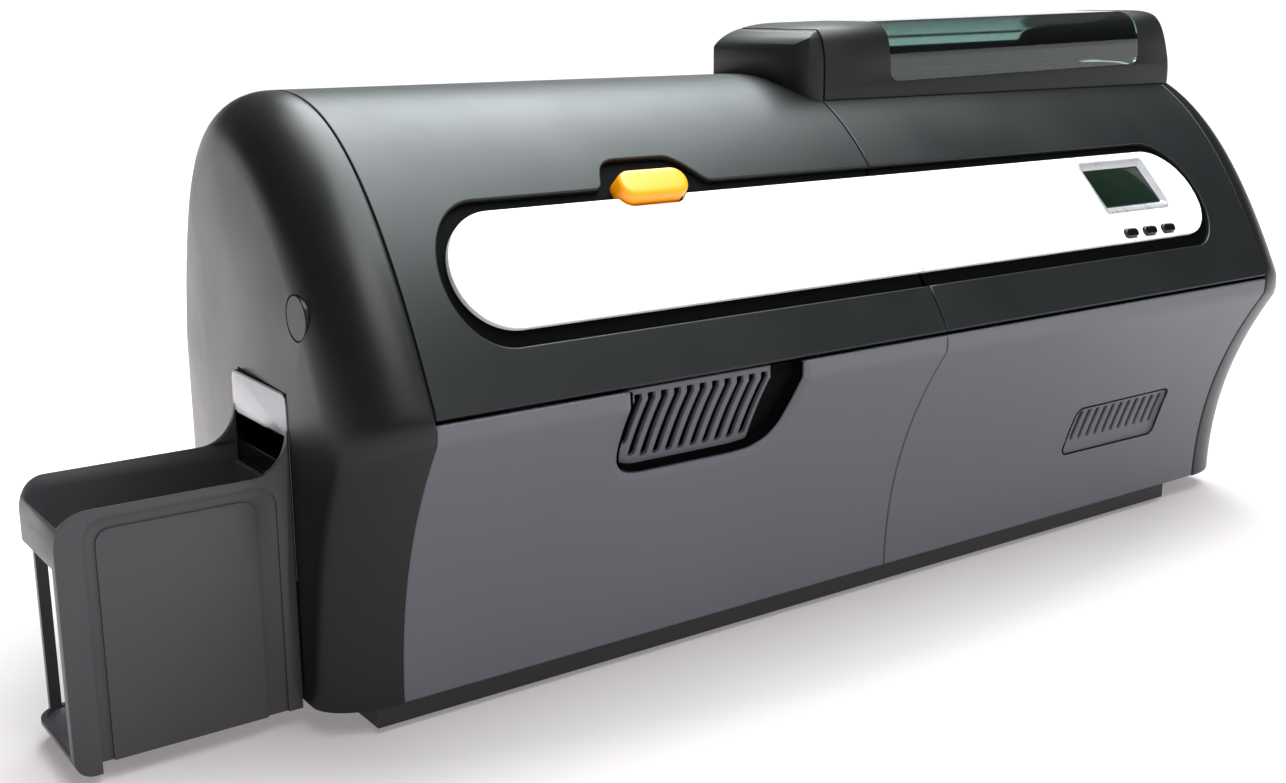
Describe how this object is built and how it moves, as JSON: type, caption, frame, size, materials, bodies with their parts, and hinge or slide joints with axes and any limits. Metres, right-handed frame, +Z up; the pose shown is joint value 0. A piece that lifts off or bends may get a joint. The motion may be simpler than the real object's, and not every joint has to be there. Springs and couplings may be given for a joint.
{
  "type": "id card printer",
  "caption": "Long low desktop card printer with a domed casing, hinged print cover with release button, hooded card feeder with tinted window and a lift-off output hopper",
  "frame": {"origin": "on the table under the middle of the printer, hopper included", "axes": "+X along the casing towards the feeder end, +Y to the rear, +Z up; the front faces -Y"},
  "size_m": [0.729, 0.272, 0.3016],
  "materials": {
    "dark_cover": "satin moulded ABS, dark blue-grey",
    "charcoal_cap": "semi-gloss moulded ABS, charcoal",
    "grey_panel": "fine texture, mid grey with a little violet",
    "dark_hood": "matte texture, near-black brown-grey",
    "black_inlay": "matte moulded black",
    "gloss_black": "polished black",
    "hopper_black": "semi-gloss moulded black",
    "base_black": "powder-coated black sheet",
    "white_band": "white overlay, slight sheen",
    "silver_bezel": "silver-grey paint",
    "orange_button": "orange-yellow moulded plastic",
    "lcd_glass": "dark green display behind a clear window",
    "tinted_window": "smoke-teal transparent moulding",
    "white_card": "blank white PVC cards",
    "foot_rubber": "matte rubber",
    "roller_rubber": "ground rubber",
    "steel_sheet": "zinc-plated sheet and machined steel",
    "pin_steel": "ground steel",
    "printhead_metal": "anodised heat sink",
    "brass_pulley": "turned brass",
    "ribbon_film": "dye ribbon film",
    "circuit_board": "green solder mask"
  },
  "bodies": {
    "printer": {"base_tray": "base_black", "rubber_feet": "foot_rubber", "left_end_cap": "charcoal_cap", "right_end_cap": "charcoal_cap", "front_panel_left": "grey_panel", "front_panel_right": "grey_panel", "rear_panel_left": "grey_panel", "rear_panel_right": "grey_panel", "right_top_cover": "dark_cover", "band_right": "white_band", "channel_right": "black_inlay", "vent_grille": "black_inlay", "lcd_bezel": "silver_bezel", "lcd_glass": "lcd_glass", "side_plug": "charcoal_cap", "output_bezel": "gloss_black", "chassis_front_plate": "steel_sheet", "chassis_rear_plate": "steel_sheet", "chassis_tie_bars": "steel_sheet", "chassis_screws": "steel_sheet", "card_guides": "black_inlay", "hinge_brackets": "steel_sheet", "cover_hinge_pins": "pin_steel", "lid_hinge_pins": "pin_steel", "card_cassette": "black_inlay", "card_stack": "white_card", "transport_motor": "steel_sheet", "drive_belt": "roller_rubber", "main_board": "circuit_board", "rear_ports": "steel_sheet", "power_supply": "steel_sheet", "power_inlet": "black_inlay", "fan_housing": "black_inlay", "latch_striker": "steel_sheet", "switch_frame": "black_inlay"},
    "print_cover": {"top_cover": "dark_cover", "band_left": "white_band", "channel_left": "black_inlay", "hood_fairing": "dark_hood"},
    "release_button": {"release_button": "orange_button"},
    "latch_lever": {"latch_lever": "steel_sheet"},
    "feeder_lid": {"feeder_lid": "dark_hood", "feeder_window": "tinted_window"},
    "menu_key_1": {"menu_key_1": "gloss_black"},
    "menu_key_2": {"menu_key_2": "gloss_black"},
    "menu_key_3": {"menu_key_3": "gloss_black"},
    "output_hopper": {"output_hopper": "hopper_black"},
    "printhead": {"printhead_arm": "steel_sheet", "printhead": "printhead_metal"},
    "platen_roller": {"platen_roller": "roller_rubber"},
    "pick_roller": {"pick_roller": "roller_rubber"},
    "transport_roller_1": {"transport_roller_1": "roller_rubber"},
    "transport_roller_2": {"transport_roller_2": "roller_rubber"},
    "transport_roller_3": {"transport_roller_3": "roller_rubber"},
    "drive_pulley": {"drive_pulley": "brass_pulley"},
    "ribbon_supply": {"ribbon_supply_spool": "ribbon_film"},
    "ribbon_takeup": {"ribbon_takeup_spool": "ribbon_film"},
    "fan_rotor": {"fan_rotor": "black_inlay"},
    "card_weight": {"card_weight": "black_inlay"},
    "power_switch": {"power_switch": "gloss_black"}
  },
  "joints": [
    {"name": "cover_hinge", "type": "hinge", "parent": "printer", "child": "print_cover", "pos_m": [-0.0975, 0.1308, 0.15], "axis": [-1, 0, 0], "range_deg": [0, 65]},
    {"name": "button_press", "type": "slide", "parent": "print_cover", "child": "release_button", "axis": [0, 0.7601, -0.6498], "range_m": [0, 0.003], "stiffness_N_per_m": 600, "springref_m": -0.002},
    {"name": "latch_pivot", "type": "hinge", "parent": "print_cover", "child": "latch_lever", "pos_m": [-0.0935, -0.09511, 0.196], "axis": [-1, 0, 0], "range_deg": [0, 8]},
    {"name": "lid_hinge", "type": "hinge", "parent": "printer", "child": "feeder_lid", "pos_m": [0.19375, 0.0305, 0.27502], "axis": [-1, 0, 0], "range_deg": [0, 85]},
    {"name": "key_1_press", "type": "slide", "parent": "printer", "child": "menu_key_1", "axis": [0, 0.8643, -0.5029], "range_m": [0, 0.0008], "stiffness_N_per_m": 500, "springref_m": -0.001},
    {"name": "key_2_press", "type": "slide", "parent": "printer", "child": "menu_key_2", "axis": [0, 0.8643, -0.5029], "range_m": [0, 0.0008], "stiffness_N_per_m": 500, "springref_m": -0.001},
    {"name": "key_3_press", "type": "slide", "parent": "printer", "child": "menu_key_3", "axis": [0, 0.8643, -0.5029], "range_m": [0, 0.0008], "stiffness_N_per_m": 500, "springref_m": -0.001},
    {"name": "hopper_lift", "type": "slide", "parent": "printer", "child": "output_hopper", "axis": [0, 0, 1], "range_m": [0, 0.008]},
    {"name": "printhead_pivot", "type": "hinge", "parent": "printer", "child": "printhead", "pos_m": [-0.0465, -0.0385, 0.152], "axis": [0, 1, 0], "range_deg": [0, 12]},
    {"name": "drive_spin", "type": "hinge", "parent": "printer", "child": "drive_pulley", "pos_m": [0.0975, -0.002, 0.062], "axis": [0, 1, 0], "continuous": true},
    {"name": "transport_1_spin", "type": "hinge", "parent": "printer", "child": "transport_roller_1", "pos_m": [0.1375, -0.0385, 0.1187], "axis": [0, 1, 0], "continuous": true},
    {"name": "transport_2_spin", "type": "hinge", "parent": "printer", "child": "transport_roller_2", "pos_m": [0.0575, -0.0385, 0.1187], "axis": [0, 1, 0], "continuous": true},
    {"name": "transport_3_spin", "type": "hinge", "parent": "printer", "child": "transport_roller_3", "pos_m": [-0.0175, -0.0385, 0.1187], "axis": [0, 1, 0], "continuous": true},
    {"name": "platen_spin", "type": "hinge", "parent": "printer", "child": "platen_roller", "pos_m": [-0.1025, -0.0385, 0.1167], "axis": [0, 1, 0], "continuous": true},
    {"name": "pick_spin", "type": "hinge", "parent": "printer", "child": "pick_roller", "pos_m": [0.1975, -0.0385, 0.12], "axis": [0, 1, 0], "continuous": true},
    {"name": "supply_spin", "type": "hinge", "parent": "printer", "child": "ribbon_supply", "pos_m": [-0.1475, -0.0385, 0.175], "axis": [0, 1, 0], "continuous": true},
    {"name": "takeup_spin", "type": "hinge", "parent": "printer", "child": "ribbon_takeup", "pos_m": [-0.0275, -0.0385, 0.175], "axis": [0, 1, 0], "continuous": true},
    {"name": "fan_spin", "type": "hinge", "parent": "printer", "child": "fan_rotor", "pos_m": [0.1425, 0.1184, 0.07], "axis": [0, 1, 0], "continuous": true},
    {"name": "weight_lift", "type": "slide", "parent": "printer", "child": "card_weight", "axis": [0, 0, 1], "range_m": [0, 0.005]},
    {"name": "switch_rock", "type": "hinge", "parent": "printer", "child": "power_switch", "pos_m": [0.2875, 0.1255, 0.046], "axis": [-1, 0, 0], "range_deg": [0, 16]}
  ],
  "couplings": [
    {"joint": "latch_pivot", "follows": "button_press", "rad_per_m": 38},
    {"joint": "transport_1_spin", "follows": "drive_spin", "ratio": 0.75},
    {"joint": "transport_2_spin", "follows": "drive_spin", "ratio": 0.75},
    {"joint": "transport_3_spin", "follows": "drive_spin", "ratio": 0.75},
    {"joint": "takeup_spin", "follows": "supply_spin", "ratio": 1.6923}
  ]
}
